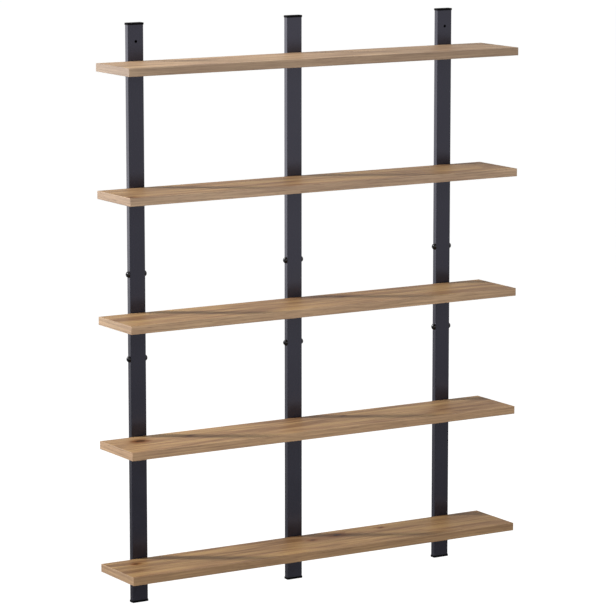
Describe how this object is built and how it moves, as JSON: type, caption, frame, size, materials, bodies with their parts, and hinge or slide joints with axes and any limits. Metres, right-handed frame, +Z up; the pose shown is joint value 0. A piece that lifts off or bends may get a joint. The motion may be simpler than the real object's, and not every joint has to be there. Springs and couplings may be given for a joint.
{
  "type": "wall shelf",
  "caption": "Wall-hung shelf of oak-decor boards carried in front of black rectangular steel tube uprights on hidden angle brackets, with plug-in end caps",
  "frame": {"origin": "midway between the wall-screw holes of the outer uprights, on the rear faces of the uprights", "axes": "+X along the boards to the right as seen from the front, +Y into the wall, +Z up"},
  "size_m": [1, 0.1684, 1.287],
  "materials": {
    "oak_decor_board": "matt oak decor on chipboard",
    "oak_edge_band": "matt oak decor edge band",
    "black_coated_steel": "satin anthracite-black powder coat",
    "black_cap_plastic": "moulded matt black",
    "black_screw_steel": "black zinc plated, satin",
    "zinc_steel": "bright zinc plated"
  },
  "bodies": {
    "root": {"board_1_core": "oak_decor_board", "board_1_front_band": "oak_edge_band", "board_1_back_band": "oak_edge_band", "board_1_left_band": "oak_edge_band", "board_1_right_band": "oak_edge_band", "board_2_core": "oak_decor_board", "board_2_front_band": "oak_edge_band", "board_2_back_band": "oak_edge_band", "board_2_left_band": "oak_edge_band", "board_2_right_band": "oak_edge_band", "board_3_core": "oak_decor_board", "board_3_front_band": "oak_edge_band", "board_3_back_band": "oak_edge_band", "board_3_left_band": "oak_edge_band", "board_3_right_band": "oak_edge_band", "board_4_core": "oak_decor_board", "board_4_front_band": "oak_edge_band", "board_4_back_band": "oak_edge_band", "board_4_left_band": "oak_edge_band", "board_4_right_band": "oak_edge_band", "board_5_core": "oak_decor_board", "board_5_front_band": "oak_edge_band", "board_5_back_band": "oak_edge_band", "board_5_left_band": "oak_edge_band", "board_5_right_band": "oak_edge_band", "left_upper_tube": "black_coated_steel", "left_lower_tube": "black_coated_steel", "left_joint_sleeve": "zinc_steel", "left_top_cap": "black_cap_plastic", "left_bottom_cap": "black_cap_plastic", "bracket_1_left": "black_coated_steel", "bracket_2_left": "black_coated_steel", "bracket_3_left": "black_coated_steel", "bracket_4_left": "black_coated_steel", "bracket_5_left": "black_coated_steel", "middle_upper_tube": "black_coated_steel", "middle_lower_tube": "black_coated_steel", "middle_joint_sleeve": "zinc_steel", "middle_top_cap": "black_cap_plastic", "middle_bottom_cap": "black_cap_plastic", "bracket_1_middle": "black_coated_steel", "bracket_2_middle": "black_coated_steel", "bracket_3_middle": "black_coated_steel", "bracket_4_middle": "black_coated_steel", "bracket_5_middle": "black_coated_steel", "right_upper_tube": "black_coated_steel", "right_lower_tube": "black_coated_steel", "right_joint_sleeve": "zinc_steel", "right_top_cap": "black_cap_plastic", "right_bottom_cap": "black_cap_plastic", "bracket_1_right": "black_coated_steel", "bracket_2_right": "black_coated_steel", "bracket_3_right": "black_coated_steel", "bracket_4_right": "black_coated_steel", "bracket_5_right": "black_coated_steel", "joint_screws": "black_screw_steel", "bracket_screws": "black_screw_steel"}
  },
  "joints": []
}
